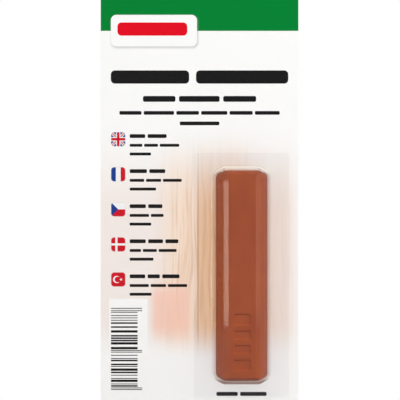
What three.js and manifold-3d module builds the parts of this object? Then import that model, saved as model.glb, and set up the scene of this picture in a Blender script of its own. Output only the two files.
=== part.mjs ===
// A wax filler stick on its shop card: a printed board with a peg slot, a clear formed blister sealed
// to the board's front, the wax bar inside the blister and a flat spatula between the bar and the board.
// Millimetres. X runs to the right and Z up as the card hangs, and the front faces -Y.
// The origin is at the top of the peg slot, on the card's back face.

import * as THREE from "three";
import { ConvexGeometry } from "three/addons/geometries/ConvexGeometry.js";
import { mergeVertices } from "three/addons/utils/BufferGeometryUtils.js";
import Module from "manifold-3d";

// Backing card
const CARD_WIDTH = 75;
const CARD_HEIGHT = 175;
const CARD_THICKNESS = 0.6;
const CARD_CORNER_RADIUS = 2;

// Peg slot: two round-ended wings with a round hump in the middle, where the peg bears
const SLOT_WIDTH = 32;
const SLOT_HEIGHT = 10.5;
const SLOT_WING_HEIGHT = 5.4;
const SLOT_HUMP_RADIUS = 6;
const SLOT_TOP_MARGIN = 6;

// Wax bar: upright land at the back, steep skirt, slope, narrow facet and a flat table in front
const BAR_WIDTH = 19.5;
const BAR_LENGTH = 79.7;
const BAR_HEIGHT = 9.4;
const BAR_EDGE_RADIUS = 0.4;
const LAND_HEIGHT = 1.3;
const SKIRT_HEIGHT = 6.2;
const SKIRT_SIDE_DRAFT = 1.6;
const SKIRT_END_DRAFT = 0.5;
const FACET_DROP = 0.8;
const FACET_SIDE_WIDTH = 1.55;
const FACET_END_WIDTH = 0.8;
const TABLE_WIDTH = 10.1;
const TABLE_END_INSET = 1.9;
const CORNER_CUT_ACROSS = 3.2;
const CORNER_CUT_ALONG = 1.9;

// Plain sunk panel near the bar's lower end, crossed by ribs that are flush with the table
const PANEL_WIDTH = 6.8;
const PANEL_LENGTH = 21.6;
const PANEL_DEPTH = 0.45;
const PANEL_CORNER_RADIUS = 1.2;
const PANEL_END_MARGIN = 4.4;
const PANEL_RIBS = 3;
const PANEL_RIB_WIDTH = 1.7;

// Blister: a dome that follows the bar, a flared foot and a flat flange
const FILM_THICKNESS = 0.35;
const SEAL_GAP = 0.05;
const DOME_CLEARANCE = 0.3;
const FOOT_FLARE = 1.3;
const FLANGE_SIDE_MARGIN = 7.6;
const FLANGE_END_MARGIN = 5.8;
const FLANGE_CORNER_RADIUS = 1;
const BLISTER_RIGHT_MARGIN = 3.6;
const BLISTER_BOTTOM_MARGIN = 3.7;

// Spatula: a strip with a thinned blade below and a round handle end above, hidden behind the bar
const SPATULA_THICKNESS = 1.2;
const SPATULA_TIP_THICKNESS = 0.4;
const SPATULA_SIDE_INSET = 1.25;
const SPATULA_END_INSET = 3;
const SPATULA_HANDLE_WIDTH = 12;
const SPATULA_BLADE_LENGTH = 14;
const SPATULA_BLADE_CORNER = 1;
const SPATULA_SEAT_GAP = 0.1;
const BAR_SEAT_GAP = 0.2;

// Fineness of the round shapes
const ARC_SEGMENTS = 10;
const EDGE_DETAIL = 2;
const FOOT_SEGMENTS = 12;

// How far a cutting solid runs past the face that it cuts
const CUT_MARGIN = 2;

// Levels of the bar's profile, from its back, whose corners are cut: back, land and skirt
const CUT_LEVELS = 3;

// Sizes that follow from the ones above
const cardTop = SLOT_TOP_MARGIN;
const cardBottom = cardTop - CARD_HEIGHT;
const wallOffset = DOME_CLEARANCE + FILM_THICKNESS;
const domeWidth = BAR_WIDTH + 2 * wallOffset;
const domeLength = BAR_LENGTH + 2 * wallOffset;
const flangeWidth = domeWidth + 2 * FLANGE_SIDE_MARGIN;
const flangeHeight = domeLength + 2 * FLANGE_END_MARGIN;
const blisterX = CARD_WIDTH / 2 - BLISTER_RIGHT_MARGIN - flangeWidth / 2;
const blisterZ = cardBottom + BLISTER_BOTTOM_MARGIN + flangeHeight / 2;
const barBack = SPATULA_SEAT_GAP + SPATULA_THICKNESS + BAR_SEAT_GAP;

const wasm = await Module();
wasm.setup();

// A closed geometry as a solid that can be joined and cut
function solid(geometry) {
  const bare = new THREE.BufferGeometry();
  bare.setAttribute("position", geometry.getAttribute("position"));
  bare.setIndex(geometry.index);
  const merged = mergeVertices(bare, 1e-4);
  return new wasm.Manifold(
    new wasm.Mesh({
      numProp: 3,
      vertProperties: new Float32Array(merged.getAttribute("position").array),
      triVerts: new Uint32Array(merged.index.array),
    }),
  );
}

// A solid back as a geometry
function geometryOf(body) {
  const mesh = body.getMesh();
  const geometry = new THREE.BufferGeometry();
  geometry.setAttribute("position", new THREE.BufferAttribute(mesh.vertProperties, mesh.numProp));
  geometry.setIndex(new THREE.BufferAttribute(mesh.triVerts, 1));
  geometry.computeVertexNormals();
  return geometry;
}

// An outline drawn in X and Z, made into a plate from the plane y = 0 to y = -depth
function plate(outline, depth) {
  const geometry = new THREE.ExtrudeGeometry(outline, {
    depth,
    bevelEnabled: false,
    curveSegments: ARC_SEGMENTS,
  });
  return geometry.rotateX(Math.PI / 2);
}

// A rectangle with round corners, centred on the point given
function roundedRectangle(width, height, radius, x = 0, z = 0) {
  const right = width / 2 - radius;
  const top = height / 2 - radius;
  const outline = new THREE.Shape();
  outline.absarc(x + right, z + top, radius, 0, Math.PI / 2);
  outline.absarc(x - right, z + top, radius, Math.PI / 2, Math.PI);
  outline.absarc(x - right, z - top, radius, Math.PI, 1.5 * Math.PI);
  outline.absarc(x + right, z - top, radius, 1.5 * Math.PI, 2 * Math.PI);
  outline.closePath();
  return outline;
}

// The peg slot's outline: wings below, hump above, with the hump's top at the origin
function pegSlotOutline() {
  const wingRadius = SLOT_WING_HEIGHT / 2;
  const wingX = SLOT_WIDTH / 2 - wingRadius;
  const wingZ = -SLOT_HEIGHT + wingRadius;
  const wingTop = -SLOT_HEIGHT + SLOT_WING_HEIGHT;
  const humpZ = -SLOT_HUMP_RADIUS;
  const straightSides = wingTop < humpZ;
  const humpFoot = straightSides ? 0 : Math.asin((wingTop - humpZ) / SLOT_HUMP_RADIUS);
  const outline = new THREE.Path();
  outline.absarc(wingX, wingZ, wingRadius, -Math.PI / 2, Math.PI / 2);
  if (straightSides) outline.lineTo(SLOT_HUMP_RADIUS, wingTop);
  outline.absarc(0, humpZ, SLOT_HUMP_RADIUS, humpFoot, Math.PI - humpFoot);
  if (straightSides) outline.lineTo(-SLOT_HUMP_RADIUS, wingTop);
  outline.absarc(-wingX, wingZ, wingRadius, Math.PI / 2, 1.5 * Math.PI);
  outline.closePath();
  return outline;
}

function cardGeometry() {
  const middle = (cardTop + cardBottom) / 2;
  const outline = roundedRectangle(CARD_WIDTH, CARD_HEIGHT, CARD_CORNER_RADIUS, 0, middle);
  outline.holes.push(pegSlotOutline());
  return plate(outline, CARD_THICKNESS);
}

// A profile from the bar's back to its table, as points of inset and height, moved inwards by the edge
// radius. The inset is measured from the bar's widest outline.
function shrunkProfile(skirtDraft, facetWidth, tableInset) {
  const profile = [
    new THREE.Vector2(0, 0),
    new THREE.Vector2(0, LAND_HEIGHT),
    new THREE.Vector2(skirtDraft, SKIRT_HEIGHT),
    new THREE.Vector2(tableInset - facetWidth, BAR_HEIGHT - FACET_DROP),
    new THREE.Vector2(tableInset, BAR_HEIGHT),
  ];
  const normals = [new THREE.Vector2(0, -1)];
  for (let i = 1; i < profile.length; i += 1) {
    const along = profile[i].clone().sub(profile[i - 1]).normalize();
    normals.push(new THREE.Vector2(-along.y, along.x));
  }
  normals.push(new THREE.Vector2(0, 1));
  return profile.map((point, i) => {
    const share = BAR_EDGE_RADIUS / (1 + normals[i].dot(normals[i + 1]));
    const outwards = normals[i].clone().add(normals[i + 1]);
    return point.clone().addScaledVector(outwards, -share);
  });
}

// Corners of the bar's core, each as [x, z, height], and its outline at the back: the bar shrunk by its
// edge radius, so that balls of that radius on the corners give the bar with its edges rounded, and
// larger balls give parallel skins outside it. Heights are measured from the bar's back, towards -Y.
function coreCorners() {
  const inset = BAR_EDGE_RADIUS;
  const side = shrunkProfile(SKIRT_SIDE_DRAFT, FACET_SIDE_WIDTH, (BAR_WIDTH - TABLE_WIDTH) / 2);
  const end = shrunkProfile(SKIRT_END_DRAFT, FACET_END_WIDTH, TABLE_END_INSET);
  const cutSlant = Math.atan2(CORNER_CUT_ACROSS, CORNER_CUT_ALONG);
  const cutAcross = CORNER_CUT_ACROSS - inset * (1 - Math.tan((Math.PI / 2 - cutSlant) / 2));
  const cutAlong = CORNER_CUT_ALONG - inset * (1 - Math.tan(cutSlant / 2));
  const corners = [];
  const outline = [];
  for (const sideX of [-1, 1]) {
    for (const sideZ of [-1, 1]) {
      for (let level = 0; level < side.length; level += 1) {
        const x = BAR_WIDTH / 2 - side[level].x;
        const z = BAR_LENGTH / 2 - end[level].x;
        const nearSide = [sideX * x, sideZ * (z - cutAlong)];
        const nearEnd = [sideX * (x - cutAcross), sideZ * z];
        if (level === 0) outline.push(nearSide, nearEnd);
        if (level < CUT_LEVELS) {
          corners.push([...nearSide, side[level].y], [...nearEnd, end[level].y]);
        } else {
          corners.push([sideX * x, sideZ * z, Math.min(side[level].y, end[level].y)]);
        }
      }
    }
  }
  return { corners, outline };
}

// Points of a ball round each corner, with the bar's back at the height given
function ballsAt(corners, radius, back) {
  const ball = new THREE.OctahedronGeometry(radius, EDGE_DETAIL).getAttribute("position");
  const points = [];
  for (const [x, z, height] of corners) {
    for (let i = 0; i < ball.count; i += 1) {
      const point = new THREE.Vector3().fromBufferAttribute(ball, i);
      points.push(point.add(new THREE.Vector3(x, -(back + height), z)));
    }
  }
  return points;
}

// Points of a level ring round each corner of an outline
function ringsAt(outline, radius, height) {
  const points = [];
  for (const [x, z] of outline) {
    for (let i = 0; i < FOOT_SEGMENTS; i += 1) {
      const turn = (2 * Math.PI * i) / FOOT_SEGMENTS;
      const ringX = x + radius * Math.cos(turn);
      const ringZ = z + radius * Math.sin(turn);
      points.push(new THREE.Vector3(ringX, -height, ringZ));
    }
  }
  return points;
}

// A skin that lies a given distance outside the bar and is carried on past the bar's back, down to
// the floor given. Heights here and below are measured from the card's front face.
function skin(distance, floor) {
  const { corners, outline } = coreCorners();
  const radius = BAR_EDGE_RADIUS + distance;
  const points = ballsAt(corners, radius, barBack);
  points.push(...ringsAt(outline, radius, floor));
  return solid(new ConvexGeometry(points));
}

// The flare round a skin's foot, which narrows from a given height up to the upright wall
function foot(distance, height) {
  const { outline } = coreCorners();
  const radius = BAR_EDGE_RADIUS + distance;
  const points = ringsAt(outline, radius + FOOT_FLARE, height);
  points.push(...ringsAt(outline, radius, height + FOOT_FLARE));
  return solid(new ConvexGeometry(points));
}

function blisterGeometry() {
  const flange = roundedRectangle(flangeWidth, flangeHeight, FLANGE_CORNER_RADIUS);
  const outside = skin(wallOffset, SEAL_GAP)
    .add(foot(wallOffset, SEAL_GAP + FILM_THICKNESS))
    .add(solid(plate(flange, FILM_THICKNESS).translate(0, -SEAL_GAP, 0)));
  const inside = skin(DOME_CLEARANCE, -CUT_MARGIN).add(foot(DOME_CLEARANCE, SEAL_GAP));
  return geometryOf(outside.subtract(inside));
}

// The sunk panel's cutting solid, with gaps left for the ribs
function panelCutter() {
  const bottom = -BAR_LENGTH / 2 + PANEL_END_MARGIN;
  const middle = bottom + PANEL_LENGTH / 2;
  const floor = PANEL_DEPTH - BAR_HEIGHT;
  const depth = PANEL_DEPTH + CUT_MARGIN;
  const outline = roundedRectangle(PANEL_WIDTH, PANEL_LENGTH, PANEL_CORNER_RADIUS, 0, middle);
  let cutter = solid(plate(outline, depth).translate(0, floor, 0));
  const pitch = PANEL_LENGTH / (PANEL_RIBS + 1);
  for (let i = 1; i <= PANEL_RIBS; i += 1) {
    const rib = new THREE.BoxGeometry(PANEL_WIDTH + CUT_MARGIN, 2 * depth, PANEL_RIB_WIDTH);
    cutter = cutter.subtract(solid(rib.translate(0, floor, bottom + i * pitch)));
  }
  return cutter;
}

function barGeometry() {
  const points = ballsAt(coreCorners().corners, BAR_EDGE_RADIUS, 0);
  return geometryOf(solid(new ConvexGeometry(points)).subtract(panelCutter()));
}

// The spatula's outline from the front: square blade below, handle tapering to a round end above
function spatulaOutline(width, length) {
  const bottom = -length / 2;
  const corner = SPATULA_BLADE_CORNER;
  const handleRadius = SPATULA_HANDLE_WIDTH / 2;
  const bladeTop = bottom + SPATULA_BLADE_LENGTH;
  const outline = new THREE.Shape();
  outline.absarc(width / 2 - corner, bottom + corner, corner, 1.5 * Math.PI, 2 * Math.PI);
  outline.lineTo(width / 2, bladeTop);
  outline.absarc(0, length / 2 - handleRadius, handleRadius, 0, Math.PI);
  outline.lineTo(-width / 2, bladeTop);
  outline.absarc(-width / 2 + corner, bottom + corner, corner, Math.PI, 1.5 * Math.PI);
  outline.closePath();
  return outline;
}

// The spatula's section from the side: full thickness, thinned on the front towards the blade's tip
function spatulaWedge(width, length) {
  const bottom = -length / 2;
  const section = new THREE.Shape();
  section.moveTo(bottom, 0);
  section.lineTo(length / 2, 0);
  section.lineTo(length / 2, SPATULA_THICKNESS);
  section.lineTo(bottom + SPATULA_BLADE_LENGTH, SPATULA_THICKNESS);
  section.lineTo(bottom, SPATULA_TIP_THICKNESS);
  section.closePath();
  const wedge = new THREE.ExtrudeGeometry(section, { depth: width, bevelEnabled: false });
  const alongZ = new THREE.Vector3(0, 0, 1);
  const towardsFront = new THREE.Vector3(0, -1, 0);
  const acrossX = new THREE.Vector3(1, 0, 0);
  wedge.applyMatrix4(new THREE.Matrix4().makeBasis(alongZ, towardsFront, acrossX));
  return wedge.translate(-width / 2, 0, 0);
}

function spatulaGeometry() {
  const width = BAR_WIDTH - 2 * SPATULA_SIDE_INSET;
  const length = BAR_LENGTH - 2 * SPATULA_END_INSET;
  const strip = solid(plate(spatulaOutline(width, length), SPATULA_THICKNESS));
  return geometryOf(strip.intersect(solid(spatulaWedge(width, length))));
}

function part(name, geometry, finish) {
  const mesh = new THREE.Mesh(geometry, new THREE.MeshStandardMaterial(finish));
  mesh.name = name;
  return mesh;
}

const card = part("backing_card", cardGeometry(), { color: 0xf4f2ee, roughness: 0.45, metalness: 0 });

const blister = part("blister_shell", blisterGeometry(), {
  color: 0xe8ecee,
  roughness: 0.08,
  metalness: 0,
  transparent: true,
  opacity: 0.25,
});

const bar = part("wax_bar", barGeometry(), { color: 0x9b4f35, roughness: 0.5, metalness: 0 });
bar.position.y = -barBack;

const spatula = part("spatula", spatulaGeometry(), { color: 0xb3262a, roughness: 0.3, metalness: 0 });
spatula.position.y = -SPATULA_SEAT_GAP;

// What lies on the card's front, about the middle of the blister
const pack = new THREE.Group();
pack.position.set(blisterX, -CARD_THICKNESS, blisterZ);
pack.add(blister, bar, spatula);

const cardedStick = new THREE.Group();
cardedStick.add(card, pack);

export default cardedStick;
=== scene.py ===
"""Looks of a wax filler stick on its shop card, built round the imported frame.

Sizes are in metres. X runs to the right and Z up as the card hangs, and the front faces -Y.
The origin is at the top of the peg slot, on the card's back face.
"""

import math

import bmesh
import bpy
from mathutils import Matrix, Vector


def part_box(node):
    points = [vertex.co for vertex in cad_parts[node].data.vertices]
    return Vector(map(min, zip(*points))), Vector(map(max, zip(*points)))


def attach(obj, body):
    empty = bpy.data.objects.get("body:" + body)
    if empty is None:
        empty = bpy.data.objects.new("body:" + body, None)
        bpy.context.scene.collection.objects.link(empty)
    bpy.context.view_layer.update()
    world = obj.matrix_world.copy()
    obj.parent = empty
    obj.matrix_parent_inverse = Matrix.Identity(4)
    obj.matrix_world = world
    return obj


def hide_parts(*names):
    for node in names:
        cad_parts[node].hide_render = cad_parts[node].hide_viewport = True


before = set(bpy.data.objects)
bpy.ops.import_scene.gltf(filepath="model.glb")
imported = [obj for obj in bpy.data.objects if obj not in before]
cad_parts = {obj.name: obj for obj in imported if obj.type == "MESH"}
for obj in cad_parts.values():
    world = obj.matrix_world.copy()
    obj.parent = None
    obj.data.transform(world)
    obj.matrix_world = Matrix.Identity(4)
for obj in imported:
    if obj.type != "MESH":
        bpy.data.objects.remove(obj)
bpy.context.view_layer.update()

bl_info = {
    "name": "Carded wax filler stick",
    "version": (1, 0, 0),
    "blender": (4, 5, 0),
    "location": "View3D > Sidebar > Wax Stick",
    "description": "Builds a wax bar and its spatula in a clear blister on a printed card",
    "category": "Add Mesh",
}

MM = 0.001
CARD_LOW, CARD_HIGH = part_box("backing_card")
SHELL_LOW, SHELL_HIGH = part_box("blister_shell")
BAR_LOW, BAR_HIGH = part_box("wax_bar")
SPATULA_LOW, SPATULA_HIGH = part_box("spatula")
CARD_FRONT = CARD_LOW.y

# Points this close become one
MERGE_DISTANCE = 0.0005 * MM
# A face whose points are this close to a depth lies at that depth
LEVEL_TOLERANCE = 0.001 * MM
# Neighbouring faces of a hull up to this angle become one
FLAT_ANGLE = math.radians(0.3)
# How much more large faces count than small ones in smooth normals
NORMAL_WEIGHT = 80

# Steps round the corners of the card, slot, printed sheets, flange and spatula, and in the film's foot
CARD_STEPS = 8
SLOT_STEPS = 16
FILLET_STEPS = 5
RIM_STEPS = 6
SECTION_STEPS = 4
FOOT_STEPS = 8
# Steps from level to upright on the bar's edges, and the largest turn of a step round its corners in degrees
TILT_STEPS = 12
TURN_STEP = 7.5

# The bar's lower levels have cut corners, and its sunk panel is a fine grid with a border of level cells
CUT_LEVELS = 3
PANEL_SOFTNESS = 0.75 * MM
PANEL_GRID = 0.1 * MM
PANEL_BORDER = 2

# Stations along the spatula's round blade corners, its shank and its round handle end
TIP_STEPS = 9
SHANK_STEPS = 240
HANDLE_STEPS = 30
# Half a groove as a share of the pitch, and the most rounding as shares of thickness and half width
GROOVE_SHARE = 0.3
THICKNESS_LIMIT = 0.45
WIDTH_LIMIT = 0.9

# Depths under the card's faces at which the core ends and the face is whole
COAT = (0.05 * MM, 0.03 * MM)

# Sizes of the printed grain, and how far each board's grain is moved from the last one's
SWAY_WIDTH = 9 * MM
SWAY_HEIGHT = 38 * MM
SWAY_SHIFT = 3.7
LINE_WIDTH = 1.3 * MM
LINE_HEIGHT = 34 * MM
LINE_SHIFT = 5.3
STREAK_WIDTH = 4.5 * MM
STREAK_HEIGHT = 60 * MM
STREAK_SHIFT = 9.1

# Where the boards and the wash begin to fade on the right, and where they have faded
BOARDS_RIGHT = (8 * MM, 24 * MM)
WASH_RIGHT = (10 * MM, 30 * MM)
# Where the edges of the boards, the rosy patch and the code's field start, and where these are whole
BOARDS_LEFT = (-19 * MM, -7 * MM)
BLUSH_TOP = (-118 * MM, -128 * MM)
BLUSH_BOTTOM = (-147 * MM, -137 * MM)
BLUSH_LEFT = (-20 * MM, -16 * MM)
BLUSH_RIGHT = (-2 * MM, -6 * MM)
CODE_FIELD_LEFT = (-34.4 * MM, -34.2 * MM)
CODE_FIELD_RIGHT = (-19.6 * MM, -19.8 * MM)
CODE_FIELD_TOP = (-128 * MM, -128.2 * MM)
# Lengths over which the picture fades
TOP_FADE = 34 * MM
BOTTOM_FADE = 16 * MM
SIDE_FADE = 5 * MM

# Half the width over which print ends, and the plaque's printed shadow
PRINT_EDGE = 0.03 * MM
SHADOW_RIGHT = 0.25 * MM
SHADOW_DOWN = 0.45 * MM
SHADOW_FADE = (0.9 * MM, -0.5 * MM)
SHADOW_TONE = (0.22, 0.24, 0.22)

# Word gap and rounding as shares of a row's height, and the widest code stripe in modules
WORD_GAP = 0.62
ROW_ROUNDING = 0.3
WIDEST_STRIPE = 3
# How far the red bar lies to the left of the plaque's middle and above it
PLAQUE_BAR_SHIFT = 0.6 * MM

# The flags' forms, as shares of half a flag's side
SALTIRE_EDGE = 0.26
SALTIRE_CORE = 0.1
CROSS_EDGE = 0.3
CROSS_CORE = 0.18
STRIPE_EDGE = 0.34
OFFSET_CROSS_LEFT = 0.26
OFFSET_CROSS_HALF = 0.15
MOON_OUTER_LEFT = 0.22
MOON_OUTER = 0.5
MOON_INNER_LEFT = 0.09
MOON_INNER = 0.4
STAR_RIGHT = 0.4
STAR_REACH = 0.24
# The star's points, and its waist as a share of its reach
STAR_POINTS = 5
STAR_WAIST = 0.382
# Distances from a flag's edge over which its rim comes in, and the rim's tone
FLAG_RIM = (-0.3 * MM, -0.05 * MM)
FLAG_RIM_TONE = (0.45, 0.45, 0.47)

# Mirror strength of the coated board, the ink and the wax
BOARD_SPECULAR = 0.06
INK_SPECULAR = 0.08
WAX_SPECULAR = 0.15

# Heights above the flange and facings at which the film's bends and end walls start and are whole
BEND_START = (0.01 * MM, 0.12 * MM)
BEND_END = (2.6 * MM, 1.2 * MM)
FACING_UP = (0.1, 0.5)
FACING_DOWN = (0.04, -0.28)
FACING_AN_END = (0.4, 0.8)
# Heights from the bar's lower end over which the film's painted shade comes in
PAINTED_SHADE_HEIGHTS = (1.2 * MM, -0.6 * MM)
# Faces of the film up to this wide belong to its folds
FOLD_WIDTH = 0.3 * MM
# Strengths of the film's haze, a painted highlight on its upper bend, of its painted shade at the lower end,
# and of its mirror
PAINTED_HIGHLIGHT_STRENGTH = 0.65
PAINTED_SHADE_STRENGTH = 0.8
LEAST_MIRROR = 0.02
SIDE_MIRROR = 0.25
END_MIRROR = 0.7
FOLD_MIRROR = 0.05
BEND_DULLNESS = 0.85

# The floor's gap under the card, the sides of its round outline and how far from its middle it turns white
FLOOR_GAP = 0.1 * MM
FLOOR_SEGMENTS = 96
FLOOR_FADE = (30 * MM, 58 * MM)
# The nearest and the farthest that the camera shows
NEAR_CLIP = 0.01
FAR_CLIP = 20

# Each lamp's turn to the right of the front and rise in degrees, distance, width, height and watts
SIDE_LAMPS = {
    "right_lamp": (60, 32, 1.0, 0.6, 0.6, 7.1),
    "left_lamp": (-60, 32, 1.0, 0.6, 0.6, 4.2),
}
STRIP_LAMPS = {
    "left_strip": (-42, 0, 0.33, 0.25, 0.084, 0.55),
    "right_strip": (42, 0, 0.33, 0.25, 0.09, 0.1),
}
BACK_LAMP = (150, 30, 1.0, 0.6, 0.6, 7.0)
STRIP_COLOUR = (1, 0.78, 0.58)
# How far from the bar's middle the strips' targets lie, and the height of the left one's target
FACET_ACROSS = 6 * MM
LEFT_STRIP_Z = -121.6 * MM


def from_srgb(red, green, blue):
    """A screen colour, 0 to 255, as the linear colour that shaders use."""
    colour = []
    for level in (red, green, blue):
        share = level / 255
        colour.append(share / 12.92 if share <= 0.04045 else ((share + 0.055) / 1.055) ** 2.4)
    return tuple(colour)


def darker(tone, share):
    """A colour with its levels cut to a share."""
    return tuple(share * level for level in tone)


def length(name, description, default):
    """A size or place that a user may change, in metres."""
    return bpy.props.FloatProperty(
        name=name, description=description, default=default, unit="LENGTH", precision=5
    )


def colour(name, description, default):
    """A colour that a user may change."""
    return bpy.props.FloatVectorProperty(
        name=name, description=description, default=default, size=3, min=0, max=1, subtype="COLOR"
    )


def number(name, description, default):
    """A count or a seed that a user may change."""
    return bpy.props.IntProperty(name=name, description=description, default=default, min=0)


def factor(name, description, default):
    """A share or a strength that a user may change."""
    return bpy.props.FloatProperty(name=name, description=description, default=default, min=0)


class CardSettings(bpy.types.PropertyGroup):
    """Sizes and colours of the backing card."""

    corner_radius: length("Corner radius", "Round corners of the card", 2 * MM)
    edge_softness: length("Edge softness", "Rounding of the cut edges", 0.06 * MM)
    slot_width: length("Slot width", "Width of the peg slot", 32 * MM)
    slot_height: length("Slot height", "Height of the peg slot with its hump", 10.5 * MM)
    wing_height: length("Wing height", "Height of the slot's two wings", 5.4 * MM)
    hump_radius: length("Hump radius", "Radius of the slot's hump", 6 * MM)
    white: colour("Coated white", "Bare coated front", from_srgb(252, 252, 251))
    core: colour("Board core", "Cut edges of the board", from_srgb(214, 206, 192))
    back: colour("Board back", "Uncoated back", from_srgb(206, 202, 194))
    band: colour("Header band", "Solid colour across the header", from_srgb(1, 128, 51))
    band_bottom: length("Band bottom", "Height of the band's lower edge", -26.4 * MM)
    plaque_x: length("Plaque middle", "Middle of the white plaque", -17.3 * MM)
    plaque_z: length("Plaque height", "Height of the plaque's middle", -26.3 * MM)
    plaque_width: length("Plaque width", "Width of the white plaque", 32.7 * MM)
    plaque_height: length("Plaque tallness", "Height of the white plaque", 12.0 * MM)
    plaque_radius: length("Plaque corners", "Round corners of the plaque", 2.1 * MM)


class PictureSettings(bpy.types.PropertyGroup):
    """The faded picture of plain boards behind the print."""

    wash: colour("Wash", "Palest tone, on the left", from_srgb(245, 236, 231))
    wood: colour("Wood", "Main tone of the boards", from_srgb(238, 188, 138))
    grain: colour("Grain", "Tone of the grain lines and seams", from_srgb(206, 160, 124))
    blush: colour("Blush", "Rosy tone of one board", from_srgb(249, 200, 181))
    board_width: length("Board width", "Width of one printed board", 18.5 * MM)
    first_seam: length("First seam", "Place of the seam beside the blister", -0.6 * MM)
    top: length("Top", "Height at which the picture has faded out", -62 * MM)
    bottom: length("Bottom", "Height at which the picture has faded out", -152 * MM)


class PrintSettings(bpy.types.PropertyGroup):
    """The printed rows, the code stripes and the flags."""

    thickness: length("Ink thickness", "Height of the ink on the card", 0.03 * MM)
    ink: colour("Ink", "Dark ink of the rows", from_srgb(19, 18, 20))
    accent: colour("Accent", "Red ink on the plaque", from_srgb(226, 6, 32))
    left: length("Left edge", "Left edge of the rows beside the flags", -26.5 * MM)
    first_row: length("First row", "Height of the first row beside the flags", -66.3 * MM)
    row_pitch: length("Row pitch", "Distance from flag to flag", 13.3 * MM)
    seed: number("Seed", "Seed of the words' lengths", 4)
    flag_x: length("Flag middle", "Middle of the flags", -30.85 * MM)
    flag_z: length("First flag", "Height of the first flag's middle", -67.5 * MM)
    flag_size: length("Flag size", "Side of a square flag", 5.4 * MM)
    flag_radius: length("Flag corners", "Round corners of a flag", 1.15 * MM)
    flag_count: number("Flags", "Number of flags", 5)
    flag_red: colour("Flag red", "Red of the flags", from_srgb(206, 22, 40))
    flag_blue: colour("Flag blue", "Blue of the flags", from_srgb(32, 60, 140))
    flag_white: colour("Flag white", "White of the flags", from_srgb(244, 244, 244))
    code_left: length("Code left", "Left end of the code stripes", -33.6 * MM)
    code_top: length("Code top", "Height of the first stripe", -131.5 * MM)
    code_length: length("Code length", "Length of a stripe", 10.1 * MM)
    code_guard: length("Code guard", "Further length of the guard stripes", 1.7 * MM)
    code_height: length("Code height", "Height of the block of stripes", 31.4 * MM)
    code_bars: number("Code stripes", "Number of stripes", 30)
    code_seed: number("Code seed", "Seed of the stripes' widths", 11)


class BarSettings(bpy.types.PropertyGroup):
    """Sizes and colours of the wax bar."""

    edge_radius: length("Edge radius", "Rounding of the bar's edges", 0.4 * MM)
    land: length("Land", "Height of the upright sides at the back", 1.3 * MM)
    skirt: length("Skirt", "Height of the steep lower sides", 6.2 * MM)
    side_draft: length("Side draft", "How far the skirt leans in at the sides", 1.6 * MM)
    end_draft: length("End draft", "How far the skirt leans in at the ends", 0.5 * MM)
    facet_drop: length("Facet drop", "Height of the narrow facet round the front", 0.8 * MM)
    facet_side: length("Side facet", "Width of the narrow facet at the sides", 1.55 * MM)
    facet_end: length("End facet", "Width of the narrow facet at the ends", 0.8 * MM)
    table_width: length("Table width", "Width of the flat front", 10.1 * MM)
    end_inset: length("End inset", "How far the flat front stops short of the ends", 1.9 * MM)
    cut_across: length("Cut across", "Corner cut, measured across the bar", 3.2 * MM)
    cut_along: length("Cut along", "Corner cut, measured along the bar", 1.9 * MM)
    corner_radius: length("Corner radius", "Rounding of the upright corners", 1.8 * MM)
    panel_width: length("Panel width", "Width of the sunk panel", 6.8 * MM)
    panel_length: length("Panel length", "Length of the sunk panel", 21.6 * MM)
    panel_depth: length("Panel depth", "Depth of the sunk panel", 0.65 * MM)
    panel_radius: length("Panel corners", "Round corners of the sunk panel", 1.2 * MM)
    panel_margin: length("Panel margin", "From the bar's lower end to the panel", 4.4 * MM)
    panel_ribs: number("Panel ribs", "Ribs across the sunk panel", 3)
    rib_width: length("Rib width", "Width of a rib", 1.7 * MM)
    wax: colour("Wax", "Main tone of the wax", from_srgb(165, 75, 30))
    wax_deep: colour("Deep wax", "Darker cloudy tone", from_srgb(152, 64, 25))
    wax_bloom: colour("Wax bloom", "Paler bloom on the surface", from_srgb(182, 95, 50))


class FilmSettings(bpy.types.PropertyGroup):
    """Sizes and finish of the clear blister."""

    thickness: length("Film thickness", "Thickness of the film", 0.35 * MM)
    clearance: length("Clearance", "Gap between the bar and the film", 0.3 * MM)
    seal_gap: length("Seal gap", "Gap between the card and the flange", 0.05 * MM)
    foot_radius: length("Foot radius", "Hollow rounding at the dome's foot", 1.3 * MM)
    flange_radius: length("Flange corners", "Round corners of the flange", 1 * MM)
    tint: colour("Film tint", "What the film lets through", (0.981, 0.981, 0.984))
    steep_tint: colour("Steep tint", "What the film lets through where it is steep", (0.6, 0.5, 0.45))
    # Whitened film kept to the upper bend only: a painted highlight where light from above would catch it
    painted_highlight_haze: colour("Film haze", "Whitened film at the upper bend", (0.88, 0.82, 0.73))
    # Painted shade: darker film at the bar's lower end, standing in for the shadow under the bar
    shade: colour("Film shade", "What the film lets through at the lower end", (0.4, 0.28, 0.24))


class SpatulaSettings(bpy.types.PropertyGroup):
    """Sizes and colour of the spatula."""

    tip_thickness: length("Tip thickness", "Thickness at the blade's tip", 0.4 * MM)
    handle_width: length("Handle width", "Width of the round handle end", 12 * MM)
    blade_length: length("Blade length", "Length of the thinned blade", 14 * MM)
    blade_corner: length("Blade corners", "Round corners of the blade", 1 * MM)
    edge_radius: length("Edge radius", "Rounding of the long edges", 0.3 * MM)
    groove_depth: length("Groove depth", "Depth of the grip grooves", 0.16 * MM)
    groove_pitch: length("Groove pitch", "Distance from groove to groove", 2.4 * MM)
    grooves: number("Grooves", "Grip grooves across the handle", 6)
    plastic: colour("Plastic", "Colour of the spatula", from_srgb(186, 34, 40))


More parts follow.
